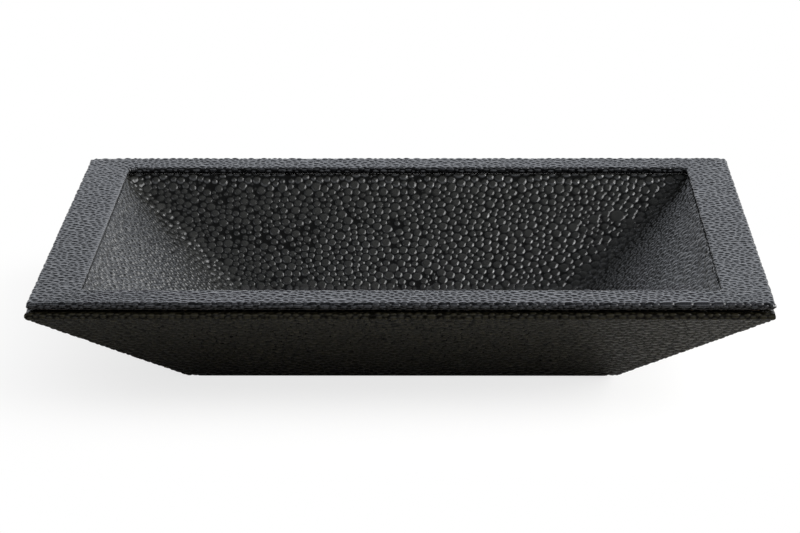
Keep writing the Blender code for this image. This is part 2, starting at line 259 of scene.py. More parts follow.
def layFloor(look):
    reach = look["floorReach"] + look["floorFade"]
    mesh = bpy.data.meshes.new("studioFloor")
    corners = [(-reach, -reach, 0.0), (reach, -reach, 0.0), (reach, reach, 0.0), (-reach, reach, 0.0)]
    mesh.from_pydata(corners, [], [(0, 1, 2, 3)])
    floor = bpy.data.objects.new("studioFloor", mesh)
    bpy.context.scene.collection.objects.link(floor)

    material = bpy.data.materials.new("paleFloor")
    material.use_nodes = True
    tree = material.node_tree
    tree.nodes.clear()
    place = addNode(tree, "ShaderNodeTexCoord").outputs["Object"]
    distance = measureVector(tree, "LENGTH", place)
    fade = ramp(tree, distance, (look["floorReach"], reach), kind="SMOOTHSTEP")
    paint = addNode(tree, "ShaderNodeBsdfDiffuse", {"Color": (*look["floorColour"], 1.0)})
    white = addNode(tree, "ShaderNodeEmission", {"Strength": 1.0})

    # the shadow is deepest at the foot and pales outwards
    aside = calculateVector(tree, "SUBTRACT", calculateVector(tree, "ABSOLUTE", place), (*look["foot"], 0.0))
    aside = calculateVector(tree, "MAXIMUM", aside, (0.0, 0.0, 0.0))
    fromFoot = measureVector(tree, "LENGTH", aside)
    pictured = ramp(tree, fromFoot, (0.0, look["shadowReach"]), look["floorWhite"], "SMOOTHSTEP")
    depth = addNode(tree, "ShaderNodeSeparateXYZ", {0: place}).outputs["Y"]
    behind = ramp(tree, depth, look["backEnds"], kind="SMOOTHSTEP")
    ahead = ramp(tree, depth, look["frontEnds"], look["frontDark"], "SMOOTHSTEP")
    toCamera = addNode(tree, "ShaderNodeLightPath").outputs["Is Camera Ray"]
    share = calculate(tree, "MULTIPLY", toCamera, pictured)
    share = calculate(tree, "ADD", share, calculate(tree, "MULTIPLY", seenInMirror(tree), behind))
    pale = mixShaders(tree, share, paint, white)
    # painted shade: in mirrors a black share is laid over the floor in front
    black = addNode(tree, "ShaderNodeEmission", {"Strength": 0.0})
    ahead = calculate(tree, "MULTIPLY", seenInMirror(tree), ahead)
    pale = mixShaders(tree, ahead, pale, black)
    mixed = mixShaders(tree, fade, pale, addNode(tree, "ShaderNodeBsdfTransparent"))
    addNode(tree, "ShaderNodeOutputMaterial", {"Surface": mixed.outputs[0]})
    mesh.materials.append(material)


lightStudio(studio)
layFloor(studio)
print("studio lit")


# Leather sheets: a section of (inset, height) points, swept round or along the sides

def roundedLine(corners, radii, spacings):
    # every corner but the first and the last is rounded, and each stretch has its own spacing
    corners = [np.array(corner, float) for corner in corners]
    line = [corners[0]]
    for k, radius in enumerate(radii, start=1):
        before = corners[k - 1] - corners[k]
        after = corners[k + 1] - corners[k]
        before, after = before / np.linalg.norm(before), after / np.linalg.norm(after)
        halfAngle = math.acos(np.clip(before @ after, -1, 1)) / 2
        bisector = (before + after) / np.linalg.norm(before + after)
        centre = corners[k] + bisector * radius / math.sin(halfAngle)
        first = corners[k] + before * radius / math.tan(halfAngle)
        last = corners[k] + after * radius / math.tan(halfAngle)
        addStretch(line, first, spacings[k - 1])
        turn = math.pi - 2 * halfAngle
        steps = max(3, math.ceil(radius * turn / min(spacings[k - 1], spacings[k])))
        start = first - centre
        sign = math.copysign(1.0, start[0] * (last - centre)[1] - start[1] * (last - centre)[0])
        for step in range(1, steps + 1):
            angle = sign * turn * step / steps
            cosine, sine = math.cos(angle), math.sin(angle)
            line.append(centre + (cosine * start[0] - sine * start[1], sine * start[0] + cosine * start[1]))
    addStretch(line, corners[-1], spacings[-1])
    return np.array(line)


def addStretch(line, end, spacing):
    start = line[-1]
    steps = max(1, math.ceil(np.linalg.norm(end - start) / spacing - 0.01))
    line.extend(start + (end - start) * step / steps for step in range(1, steps + 1))


def offsetInward(corners, distance):
    # the hidden side of the sheet, on the right-hand side of the line
    corners = np.array(corners, float)
    directions = np.diff(corners, axis=0)
    directions /= np.linalg.norm(directions, axis=1)[:, None]
    normals = np.stack([directions[:, 1], -directions[:, 0]], 1)
    moved = [corners[0] + normals[0] * distance]
    for k in range(1, len(corners) - 1):
        both = normals[k - 1] + normals[k]
        moved.append(corners[k] + both * distance / (1 + normals[k - 1] @ normals[k]))
    moved.append(corners[-1] + normals[-1] * distance)
    return moved


def arcLengths(line):
    return np.concatenate([[0.0], np.cumsum(np.linalg.norm(np.diff(line, axis=0), axis=1))])


def turnedSide(points, turn):
    cosine, sine = (1, 0, -1, 0)[turn], (0, 1, 0, -1)[turn]
    turned = points.copy()
    turned[..., 0] = cosine * points[..., 0] - sine * points[..., 1]
    turned[..., 1] = sine * points[..., 0] + cosine * points[..., 1]
    return turned


def sweepSide(line, radii, half, distance, arcSteps, straightSteps):
    # for each row, the front stretch of a rounded ring, from the middle of one corner to the next
    slope = np.gradient(line, axis=0)
    growth = np.gradient(radii)
    inset, height, radius = line[:, 0:1], line[:, 1:2], np.asarray(radii)[:, None]
    insetSlope, heightSlope, growth = slope[:, 0:1], slope[:, 1:2], growth[:, None]
    places, normals = [], []
    for sign, start in ((-1, 1.25), (1, 1.5)):  # in half turns
        angle = np.linspace(start, start + 0.25, arcSteps + 1) * math.pi
        cosine, sine = np.cos(angle), np.sin(angle)
        x = sign * (half - inset - radius) + radius * cosine
        y = -(distance - inset - radius) + radius * sine
        z = np.broadcast_to(height, x.shape)
        alongX = -sign * (insetSlope + growth) + growth * cosine
        alongY = (insetSlope + growth) + growth * sine
        places.append(np.stack([x, y, z], -1))
        normals.append(np.stack([
            cosine * heightSlope + 0 * x,
            sine * heightSlope + 0 * x,
            -sine * alongY - cosine * alongX,
        ], -1))
    share = np.linspace(0, 1, straightSteps + 1)[None, 1:-1, None]
    middle = places[0][:, -1:] * (1 - share) + places[1][:, :1] * share
    flat = np.concatenate([0 * insetSlope, -heightSlope, insetSlope], 1)[:, None]
    places.insert(1, middle)
    normals.insert(1, np.broadcast_to(flat, middle.shape))
    place = np.concatenate(places, 1)
    normal = np.concatenate(normals, 1)
    normal = normal / np.linalg.norm(normal, axis=2, keepdims=True)
    return place, normal


def sheetMesh(name, place, normal, pattern, amount):
    # a closed tube: rows of points round the section, with a flat face at each end
    rows, columns = place.shape[:2]
    index = np.arange(rows * columns).reshape(rows, columns)
    following = np.roll(index, -1, 0)
    quads = np.stack([index[:, :-1], index[:, 1:], following[:, 1:], following[:, :-1]], -1)
    faces = quads.reshape(-1, 4).tolist()
    faces.append(index[:, 0].tolist())
    faces.append(index[::-1, -1].tolist())
    mesh = bpy.data.meshes.new(name)
    mesh.from_pydata(place.reshape(-1, 3).tolist(), [], faces)
    keepGrain(mesh, normal.reshape(-1, 3), pattern.reshape(-1, 3), amount.reshape(-1))
    return mesh


def keepAttributes(mesh, attributes):
    # a plain number for each point, or a vector
    for name, values in attributes:
        kind, field = ("FLOAT", "value") if values.ndim == 1 else ("FLOAT_VECTOR", "vector")
        attribute = mesh.attributes.new(name, kind, "POINT")
        attribute.data.foreach_set(field, np.ascontiguousarray(values, np.float32).ravel())


def keepGrain(mesh, normal, place, amount):
    # which way the relief rises, where on the hide the point lies, and how much relief it gets
    keepAttributes(mesh, (("sheetNormal", normal), ("grainPlace", place), ("grainAmount", amount)))


# Beaded grain: round beads of many sizes, packed against each other over each sheet

beads = {
    "radius": 0.00150,
    "hideRadius": 0.00124,  # on the rim and the casing
    "hideReach": (0.126, 0.108),  # half the width and depth of the flat hide that covers both
    "variety": 0.18,
    "largest": 0.0030,
    "smallest": 0.00042,
    # broad ones that lie over the rim's front edge, towards the right: place along it and radius
    "broadOnes": ((0.0849, 0.0024), (0.0905, 0.0029), (0.0963, 0.0029), (0.1014, 0.0022), (0.1055, 0.0018)),
    "broadPlace": -0.0990,
    "packing": 0.86,  # share of the sheet under the main beads
    "settling": 36,  # rounds
    "pairRounds": 4,  # after so many rounds the neighbours are looked up again
    "pairReach": 1.4,  # how far away a neighbour may be, beyond the bead's own radius, in radii
    "push": 0.42,  # share of an overlap by which each of the two moves in a round
    "give": 0.35,  # share of a remaining overlap that each of the two loses
    "fill": 0.75,  # radius of the largest filler, in radii
    "darts": 4,  # places tried for fillers, for each main bead
    "seed": 11,
}


def buildTree(places):
    tree = KDTree(len(places))
    for index, place in enumerate(places):
        tree.insert(place, index)
    tree.balance()
    return tree


def nearPairs(look, places, radii):
    tree = buildTree(places)
    pairs = [
        (min(index, other), max(index, other))
        for index, place in enumerate(places)
        for _, other, _ in tree.find_range(place, radii[index] + look["pairReach"] * look["radius"])
        if other != index
    ]
    return np.unique(np.array(pairs), axis=0)


def settleBeads(look, places, radii, held, fitBack):
    # beads that overlap push each other away, again and again; the first ones are held
    for step in range(look["settling"]):
        if step % look["pairRounds"] == 0:
            one, other = nearPairs(look, places, radii).T
        apart = places[one] - places[other]
        distance = np.linalg.norm(apart, axis=1) + 1e-9
        overlap = np.clip(radii[one] + radii[other] - distance, 0, None)
        push = apart * (look["push"] * overlap / distance)[:, None]
        move = np.zeros_like(places)
        np.add.at(move, one, push)
        np.add.at(move, other, -push)
        move[:held] = 0.0
        places = fitBack(places + move)
    return places


def shrinkBeads(look, places, radii, held):
    # neighbours that still overlap each lose a part of it
    one, other = nearPairs(look, places, radii).T
    distance = np.linalg.norm(places[one] - places[other], axis=1)
    excess = np.clip(radii[one] + radii[other] - distance, 0, None)
    loss = np.zeros(len(radii))
    np.maximum.at(loss, one, excess * look["give"])
    np.maximum.at(loss, other, excess * look["give"])
    loss[:held] = 0.0
    return radii - loss


def fillGaps(look, places, radii, candidates):
    # a small bead goes into each gap that has room for one, the roomiest first
    tree = buildTree(places)
    room = np.array([
        min(distance - radii[index] for _, index, distance in tree.find_n(candidate, 6))
        for candidate in candidates
    ])
    chosen, sizes = [], []
    for index in np.argsort(-room):
        size = min(room[index], look["radius"] * look["fill"])
        if room[index] < look["smallest"]:
            break
        if chosen:
            apart = np.linalg.norm(np.array(chosen) - candidates[index], axis=1)
            if (apart < np.array(sizes) + size).any():
                continue
        chosen.append(candidates[index])
        sizes.append(size)
    if not chosen:
        return places, radii
    return np.concatenate([places, chosen]), np.concatenate([radii, sizes])


def drawRadii(look, rng, count):
    return look["radius"] * (1 + look["variety"] * np.clip(rng.normal(size=count), -2, 2))


def beadCloud(name, look, places, radii, normals):
    # a smaller bead floats higher, so that the nearest bead to a point is the one whose circle it is in
    lift = np.sqrt(np.clip(look["largest"] ** 2 - radii ** 2, 0, None))
    rng = np.random.default_rng(look["seed"] + len(radii))
    leans = np.cross(rng.normal(size=places.shape), np.broadcast_to(normals, places.shape))
    mesh = bpy.data.meshes.new(name)
    mesh.from_pydata((places + normals * lift[:, None]).tolist(), [], [])
    keepAttributes(mesh, (("beadRadius", radii), ("beadLean", leans)))
    return bpy.data.objects.new(name, mesh)


def flatHide(look):
    # beads of a flat piece of hide, which the rim and the casing are cut from
    rng = np.random.default_rng(look["seed"])
    reach = np.array(look["hideReach"])
    halfWidth, halfDepth = look["hideReach"]
    count = int(look["packing"] * 4 * halfWidth * halfDepth / (math.pi * look["radius"] ** 2))
    places = np.zeros((count, 3))
    places[:, :2] = rng.uniform(-reach, reach, (count, 2))
    radii = drawRadii(look, rng, count)
    held = len(look["broadOnes"])
    for index, (along, radius) in enumerate(look["broadOnes"]):
        places[index], radii[index] = (along, look["broadPlace"], 0.0), radius

    def fitBack(moved):
        moved[:, :2] = np.clip(moved[:, :2], -reach, reach)
        return moved

    places = settleBeads(look, places, radii, held, fitBack)
    radii = shrinkBeads(look, places, radii, held)
    darts = np.zeros((count * look["darts"], 3))
    darts[:, :2] = rng.uniform(-reach, reach, (len(darts), 2))
    places, radii = fillGaps(look, places, radii, darts)
    print("flat hide", len(places), "beads")
    return beadCloud("hideBeads", look, places, radii, np.array([[0.0, 0.0, 1.0]]))


hideBeads = flatHide({**beads, "radius": beads["hideRadius"]})


# The relief that the beads make

grain = {
    "Largest Bead": beads["largest"],
    "Unevenness": 0.16,
    "Swell Width": 0.028,
    "Seed": 4,
}


def buildBeadTree():
    tree = bpy.data.node_groups.new("beadedGrain", "GeometryNodeTree")
    tree.interface.new_socket("Geometry", in_out="INPUT", socket_type="NodeSocketGeometry")
    tree.interface.new_socket("Beads", in_out="INPUT", socket_type="NodeSocketObject")
    for name in (
        "Relief",  # height of a pebble
        "Raised",  # its share of the relief that stands above the sheet
        "Bead Radius", "Largest Bead",
        "Flank", "Flank Curve",  # how wide and how round the flanks are
        "Unevenness", "Lean",  # how much lower a pebble may be, and how much it tilts
        "Swell", "Swell Width",
    ):
        tree.interface.new_socket(name, in_out="INPUT", socket_type="NodeSocketFloat")
    tree.interface.new_socket("Seed", in_out="INPUT", socket_type="NodeSocketInt")
    tree.interface.new_socket("Leather", in_out="INPUT", socket_type="NodeSocketMaterial")
    tree.interface.new_socket("Geometry", in_out="OUTPUT", socket_type="NodeSocketGeometry")
    given = addNode(tree, "NodeGroupInput").outputs

    def attribute(name, kind):
        return addNode(tree, "GeometryNodeInputNamedAttribute", {"Name": name}, data_type=kind).outputs[0]

    # the bead that each point of the sheet belongs to
    place = attribute("grainPlace", "FLOAT_VECTOR")
    cloud = addNode(tree, "GeometryNodeObjectInfo", {"Object": given["Beads"]}).outputs["Geometry"]
    inputs = {"Geometry": cloud, "Sample Position": place}
    nearest = addNode(tree, "GeometryNodeSampleNearest", inputs, domain="POINT").outputs[0]

    def ofBead(value, kind):
        inputs = {"Geometry": cloud, "Value": value, "Index": nearest}
        return addNode(tree, "GeometryNodeSampleIndex", inputs, data_type=kind, domain="POINT").outputs[0]

    centre = ofBead(addNode(tree, "GeometryNodeInputPosition").outputs[0], "FLOAT_VECTOR")
    radius = ofBead(attribute("beadRadius", "FLOAT"), "FLOAT")
    away = calculateVector(tree, "SUBTRACT", place, centre)
    awaySquared = measureVector(tree, "DOT_PRODUCT", away, away)
    radiusSquared = calculate(tree, "POWER", radius, 2.0)
    lift = calculate(tree, "SUBTRACT", calculate(tree, "POWER", given["Largest Bead"], 2.0), radiusSquared)
    share = calculate(tree, "DIVIDE", calculate(tree, "SUBTRACT", awaySquared, lift), radiusSquared)

    # its height there: a flat top and flanks as steep on a small bead as on a large one
    inside = calculate(tree, "SUBTRACT", 1.0, calculate(tree, "POWER", share, 0.5), clamp=True)
    size = calculate(tree, "DIVIDE", radius, given["Bead Radius"])
    climbed = calculate(tree, "DIVIDE", calculate(tree, "MULTIPLY", inside, size), given["Flank"])
    left = calculate(tree, "SUBTRACT", 1.0, climbed, clamp=True)
    dome = calculate(tree, "SUBTRACT", 1.0, calculate(tree, "POWER", left, given["Flank Curve"]))
    inputs = {"ID": nearest, "Seed": given["Seed"]}
    chance = addNode(tree, "FunctionNodeRandomValue", inputs, data_type="FLOAT").outputs[1]
    lowered = calculate(tree, "SUBTRACT", 1.0, calculate(tree, "MULTIPLY", chance, given["Unevenness"]))
    height = calculate(tree, "MULTIPLY", dome, lowered)

    # each bead leans a little, its own way
    lean = ofBead(attribute("beadLean", "FLOAT_VECTOR"), "FLOAT_VECTOR")
    leaning = measureVector(tree, "DOT_PRODUCT", away, lean)
    leaning = calculate(tree, "MULTIPLY", calculate(tree, "MULTIPLY", leaning, dome), given["Lean"])

    # the whole sheet also swells a little
    wide = scaleVector(tree, place, calculate(tree, "DIVIDE", 1.0, given["Swell Width"]))
    swell = noise(tree, wide, 1.0, 2.0)
    sunk = calculate(tree, "SUBTRACT", 1.0, given["Raised"])
    depth = calculate(tree, "MULTIPLY", calculate(tree, "SUBTRACT", height, sunk), given["Relief"])
    depth = calculate(tree, "SUBTRACT", depth, calculate(tree, "MULTIPLY", swell, given["Swell"]))
    depth = calculate(tree, "ADD", depth, leaning)
    depth = calculate(tree, "MULTIPLY", depth, attribute("grainAmount", "FLOAT"))
    offset = scaleVector(tree, attribute("sheetNormal", "FLOAT_VECTOR"), depth)

    kept = given["Geometry"]
    for name, value in (("beadHeight", height), ("beadChance", chance)):
        kept = addNode(
            tree, "GeometryNodeStoreNamedAttribute",
            {"Geometry": kept, "Name": name, "Value": value}, data_type="FLOAT", domain="POINT",
        ).outputs[0]
    moved = addNode(tree, "GeometryNodeSetPosition", {"Geometry": kept, "Offset": offset}).outputs[0]
    real = addNode(tree, "GeometryNodeRealizeInstances", {"Geometry": moved}).outputs[0]
    dressed = addNode(tree, "GeometryNodeSetMaterial", {"Geometry": real, "Material": given["Leather"]})
    addNode(tree, "NodeGroupOutput", {"Geometry": dressed.outputs[0]})
    return tree


beadTree = buildBeadTree()


def smoothShownSide(mesh):
    # the hidden side and the cut ends stay flat, which leaves the shown side's shading alone
    normals = np.zeros(len(mesh.vertices) * 3, np.float32)
    mesh.attributes["sheetNormal"].data.foreach_get("vector", normals)
    corners = np.zeros(len(mesh.loops), np.int32)
    mesh.loops.foreach_get("vertex_index", corners)
    starts = np.zeros(len(mesh.polygons), np.int32)
    mesh.polygons.foreach_get("loop_start", starts)
    shown = normals.reshape(-1, 3).any(1)[corners]
    mesh.polygons.foreach_set("use_smooth", np.logical_and.reduceat(shown, starts))


def emboss(name, mesh, look, cloud, material, replaced):
    # the grain runs over a sheet, and the result is kept as a plain mesh on the root body
    draft = bpy.data.objects.new(name + "Draft", mesh)
    bpy.context.scene.collection.objects.link(draft)
    relief = draft.modifiers.new("grain", "NODES")
    relief.node_group = beadTree
    values = {**grain, **look["grain"], "Beads": cloud, "Leather": material}
    for item in beadTree.interface.items_tree:
        if item.in_out == "INPUT" and item.name in values:
            relief[item.identifier] = values[item.name]
    evaluated = draft.evaluated_get(bpy.context.evaluated_depsgraph_get())
    finished = bpy.data.meshes.new_from_object(evaluated)
    draft.modifiers.remove(relief)
    bpy.data.objects.remove(draft)
    bpy.data.meshes.remove(mesh)
    finished.name = name
    smoothShownSide(finished)
    piece = bpy.data.objects.new(name, finished)
    bpy.context.scene.collection.objects.link(piece)
    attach(piece, "root")
    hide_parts(replaced)
    print(name, len(finished.polygons), "faces")


# Leather finish

# the three are one leather; their different colours are painted light: the rim cooler from the light above,
# the casing warmer from the floor's bounce, the lining lighter
leatherLook = {
    "rim": {"colour": (0.0110, 0.0116, 0.0130), "roughness": 0.09, "shine": 0.62},
    "lining": {"colour": (0.0178, 0.0180, 0.0165), "roughness": 0.17, "shine": 0.58},
    "casing": {"colour": (0.0130, 0.0116, 0.0066), "roughness": 0.17, "shine": 0.18},
}

# What all leather shares. A height is a share of a pebble's, and a pair that mixes is (amount, start)
leatherDetail = {
    "clouds": (28.0, 3.0),  # scale and detail of the dye's clouds
    "cloudTone": (0.30, 0.85),
    "beadTone": (0.16, 0.92),  # each pebble has its own tone
    "creaseShadeHeight": 0.8,  # up to this height the colour goes from the painted crease shade to the top's tone
    "creaseShadeTones": (0.15, 1.05),
    "polishHeight": 0.25,
    "dullness": 0.10,  # a crease is rougher by this
    "shineHeight": 0.35,
    "creaseShine": 0.35,  # the share of the shine that a crease keeps
    "wrinkles": (1900.0, 2.0),  # scale and detail
    "grit": (0.08, -0.04),
    "pores": 1700.0,
    "poreShare": 0.6,
    "bump": (0.35, 0.00015),  # strength and depth
}


def plainFinish(name):
    material = bpy.data.materials.new(name)
    material.use_nodes = True
    tree = material.node_tree
    place = addNode(tree, "ShaderNodeTexCoord").outputs["Object"]
    return material, tree, tree.nodes["Principled BSDF"], place


def bumpSurface(tree, shader, height, bump):
    strength, depth = bump
    made = addNode(tree, "ShaderNodeBump", {"Strength": strength, "Distance": depth, "Height": height})
    tree.links.new(made.outputs[0], shader.inputs["Normal"])


def leatherFinish(name, look):
    material, tree, shader, place = plainFinish(name)
    height = addNode(tree, "ShaderNodeAttribute", attribute_name="beadHeight").outputs["Fac"]
    tint = addNode(tree, "ShaderNodeAttribute", attribute_name="beadChance").outputs["Fac"]

    # colour: the pebble tops a little lighter from wear, the creases darker with painted shade, and the dye
    # never quite even
    cloud = noise(tree, place, *leatherDetail["clouds"])
    tinted = stretch(tree, tint, *leatherDetail["beadTone"])
    clouded = stretch(tree, cloud, *leatherDetail["cloudTone"])
    # painted shade in the creases: low on a pebble the colour falls to a small share of the top's
    lift = ramp(tree, height, (0.0, leatherDetail["creaseShadeHeight"]), leatherDetail["creaseShadeTones"])
    lift = calculate(tree, "MULTIPLY", lift, calculate(tree, "MULTIPLY", tinted, clouded))
    tree.links.new(scaleVector(tree, look["colour"], lift), shader.inputs["Base Color"])

    # polish: the creases between the pebbles stay dull
    fine = noise(tree, place, *leatherDetail["wrinkles"])
    roughness = (look["roughness"] + leatherDetail["dullness"], look["roughness"])
    polish = ramp(tree, height, (0.0, leatherDetail["polishHeight"]), roughness)
    grit = stretch(tree, fine, *leatherDetail["grit"])
    tree.links.new(calculate(tree, "ADD", polish, grit, clamp=True), shader.inputs["Roughness"])
    shines = (leatherDetail["creaseShine"] * look["shine"], look["shine"])
    shine = ramp(tree, height, (0.0, leatherDetail["shineHeight"]), shines)
    tree.links.new(shine, shader.inputs["Specular IOR Level"])

    # pores and hair-fine wrinkles
    inputs = {"Vector": place, "Scale": leatherDetail["pores"]}
    pores = addNode(tree, "ShaderNodeTexVoronoi", inputs, feature="SMOOTH_F1").outputs["Distance"]
    mixed = calculate(tree, "ADD", fine, calculate(tree, "MULTIPLY", pores, leatherDetail["poreShare"]))
    bumpSurface(tree, shader, mixed, leatherDetail["bump"])
    return material


rimMaterial = leatherFinish("rimLeather", leatherLook["rim"])
liningMaterial = leatherFinish("liningLeather", leatherLook["lining"])
casingMaterial = leatherFinish("casingLeather", leatherLook["casing"])


# Wood, board and suede of the hidden pieces, which stay as the CAD has them

# A bump is (strength, depth), and dull gives the roughness at the bump's foot and top
woodLook = {
    "pale": (0.50, 0.345, 0.20), "dark": (0.36, 0.23, 0.12),
    "along": 22.0, "across": 90.0, "bump": (0.35, 0.00015), "dull": (0.55, 0.80),
}
pliesLook = {
    "pale": (0.58, 0.43, 0.26), "dark": (0.33, 0.21, 0.11),
    "ply": 0.0008, "fibres": (25.0, 600.0, 900.0), "bump": (0.30, 0.00012), "dull": (0.60, 0.85),
}
cardLook = {
    "grey": {"colour": (0.33, 0.31, 0.28), "fleck": (0.20, 0.18, 0.16)},
    # the packing shows only in the groove between rim and casing; its black colour is painted shade for that
    # groove
    "black": {"colour": (0.055, 0.052, 0.049), "fleck": (0.080, 0.076, 0.072)},
    "bump": (0.40, 0.00010), "dull": (0.75, 0.95),
}
suedeLook = {
    "colour": (0.016, 0.015, 0.015), "brushed": (0.030, 0.028, 0.027),
    "sheen": 0.25, "sheenRoughness": 0.55, "bump": (0.60, 0.00020), "dull": (0.80, 1.00),
}


def roughen(tree, shader, height, look):
    # one height drives both the bump and how dull the surface is
    bumpSurface(tree, shader, height, look["bump"])
    tree.links.new(ramp(tree, height, (0.0, 1.0), look["dull"]), shader.inputs["Roughness"])


def woodFinish(name, look, scales):
    # sawn and sanded wood: growth rings drawn out along the board, with fine pores
    material, tree, shader, place = plainFinish(name)
    drawn = calculateVector(tree, "MULTIPLY", place, scales)
    wander = noise(tree, drawn, 0.6, 3.0)
    rings = addNode(
        tree, "ShaderNodeTexWave",
        {"Vector": drawn, "Scale": 1.1, "Distortion": 5.0, "Detail": 2.5, "Detail Scale": 0.8},
        wave_type="RINGS", rings_direction="SPHERICAL",
    ).outputs["Fac"]
    pores = noise(tree, calculateVector(tree, "MULTIPLY", drawn, (9.0, 9.0, 9.0)), 1.0, 4.0)
    share = calculate(tree, "MULTIPLY", rings, wander)
    share = calculate(tree, "ADD", share, calculate(tree, "MULTIPLY", pores, 0.35))
    tree.links.new(blendColours(tree, share, look["pale"], look["dark"]), shader.inputs["Base Color"])
    roughen(tree, shader, pores, look)
    return material


def pliesFinish(name, look):
    # thin plies whose grain turns by a quarter from one to the next
    material, tree, shader, place = plainFinish(name)
    height = addNode(tree, "ShaderNodeSeparateXYZ", {0: place}).outputs["Z"]
    count = calculate(tree, "FLOOR", calculate(tree, "DIVIDE", height, look["ply"]))
    turned = calculate(tree, "MODULO", count, 2.0)
    along, across, upright = look["fibres"]
    lengthwise = calculateVector(tree, "MULTIPLY", place, (along, across, upright))
    crosswise = calculateVector(tree, "MULTIPLY", place, (across, along, upright))
    inputs = {0: turned, 4: lengthwise, 5: crosswise}
    chosen = addNode(tree, "ShaderNodeMix", inputs, data_type="VECTOR").outputs[1]
    fibres = noise(tree, chosen, 1.0, 4.0)
    share = calculate(tree, "MULTIPLY", turned, 0.45)
    share = calculate(tree, "ADD", share, calculate(tree, "MULTIPLY", fibres, 0.55))
    tree.links.new(blendColours(tree, share, look["pale"], look["dark"]), shader.inputs["Base Color"])
    roughen(tree, shader, fibres, look)
    return material


def cardFinish(name, look):
    # bookbinding board: matted fibres and a few flecks
    material, tree, shader, place = plainFinish(name)
    fibres = noise(tree, place, 1400.0, 5.0)
    flecks = addNode(tree, "ShaderNodeTexVoronoi", {"Vector": place, "Scale": 420.0, "Randomness": 1.0})
    spots = ramp(tree, flecks.outputs["Distance"], (0.0, 0.30), (0.7, 0.0))
    share = calculate(tree, "ADD", spots, calculate(tree, "MULTIPLY", fibres, 0.4))
    tree.links.new(blendColours(tree, share, look["colour"], look["fleck"]), shader.inputs["Base Color"])
    roughen(tree, shader, fibres, look)
    return material


def suedeFinish(name, look):
    # a short nap, brushed this way and that
    material, tree, shader, place = plainFinish(name)
    nap = noise(tree, place, 2600.0, 3.0)
    strokes = noise(tree, calculateVector(tree, "MULTIPLY", place, (40.0, 110.0, 40.0)), 1.0, 2.0)
    share = calculate(tree, "MULTIPLY", calculate(tree, "ADD", nap, strokes), 0.5)
    tree.links.new(blendColours(tree, share, look["colour"], look["brushed"]), shader.inputs["Base Color"])
    roughen(tree, shader, nap, look)
    shader.inputs["Sheen Weight"].default_value = look["sheen"]
    shader.inputs["Sheen Roughness"].default_value = look["sheenRoughness"]
    return material


def dressNodes():
    along, across = woodLook["along"], woodLook["across"]
    longWood = woodFinish("wallWoodLong", woodLook, (along, across, across))
    shortWood = woodFinish("wallWoodShort", woodLook, (across, along, across))
    finishes = {
        "base_pad": suedeFinish("padSuede", suedeLook),
        "base_board": pliesFinish("basePlywood", pliesLook),
        "rim_board": cardFinish("rimBoard", {**cardLook, **cardLook["grey"]}),
        "rim_packing": cardFinish("rimPacking", {**cardLook, **cardLook["black"]}),
    }
    for name, node in nodes.items():
        if name.startswith("wall_"):
            finishes[name] = longWood if name in ("wall_front", "wall_back") else shortWood
        if name.startswith("corner_fillet_"):
            finishes[name] = shortWood
        if name in finishes:
            for slot in node.material_slots:
                slot.material = finishes[name]


dressNodes()
print("hidden pieces dressed")


# Rim: a flat frame wrapped in leather

rim = {
    "setback": 0.00033,  # leaves room for the pebbles inside the solid's size
    "width": 0.01632,
    "folds": (0.0009, 0.0013, 0.0009, 0.0008),  # outer bottom, outer top, inner top, inner bottom
    "cornerRadius": 0.0016,
    "windowRadius": 0.0028,
    "margin": 0.0045,  # turned under at both edges
    "spacing": 0.00030,
    "marginSpacing": 0.0012,
    "hiddenSpacing": (0.0045, 0.004, 0.005, 0.004, 0.0045),
    "cornerSteps": 8,
    "grainStart": (-0.001, 0.0008),  # where it starts, from the margin's fold, and over what width it grows
    "aside": 0.00022,  # it was glued on a touch to the right
    # along the window's left edge the grain is flatter by this share, over this width
    "windowSmooth": (0.80, 0.0016),
    "flare": 0.00020,  # the folded leather bulks out at the corners, and hangs down by the sag
    "sag": 0.00025,
    "flareReach": 0.0045,
    "grain": {
        "Bead Radius": beads["hideRadius"], "Relief": 0.00034, "Raised": -0.06,
        "Flank": 0.85, "Flank Curve": 1.7, "Lean": 0.038, "Swell": 0.00008,
    },
}


def rimCorners(look):
    inner = look["setback"] + look["width"]
    bottom, top = dish["rimBottom"], dish["top"]
    return [
        (look["setback"] + look["margin"], bottom),
        (look["setback"], bottom),
        (look["setback"], top),
        (inner, top),
        (inner, bottom),
        (inner - look["margin"], bottom),
    ]


def rimRadius(look, inset):
    share = np.clip((inset - look["setback"]) / look["width"], 0, 1)
    return look["cornerRadius"] + share * (look["windowRadius"] - look["cornerRadius"])


def flareCorners(look, place, half, distance):
    # the corners bulge outwards and hang down a little
    flared = place.copy()
    for sign in (-1, 1):
        away = np.hypot(place[..., 0] - sign * half, place[..., 1] + distance)
        near = np.exp(-(away / look["flareReach"]) ** 2)
        flared[..., 0] += sign * look["flare"] * near
        flared[..., 1] -= look["flare"] * near
        flared[..., 2] -= look["sag"] * near
    return flared


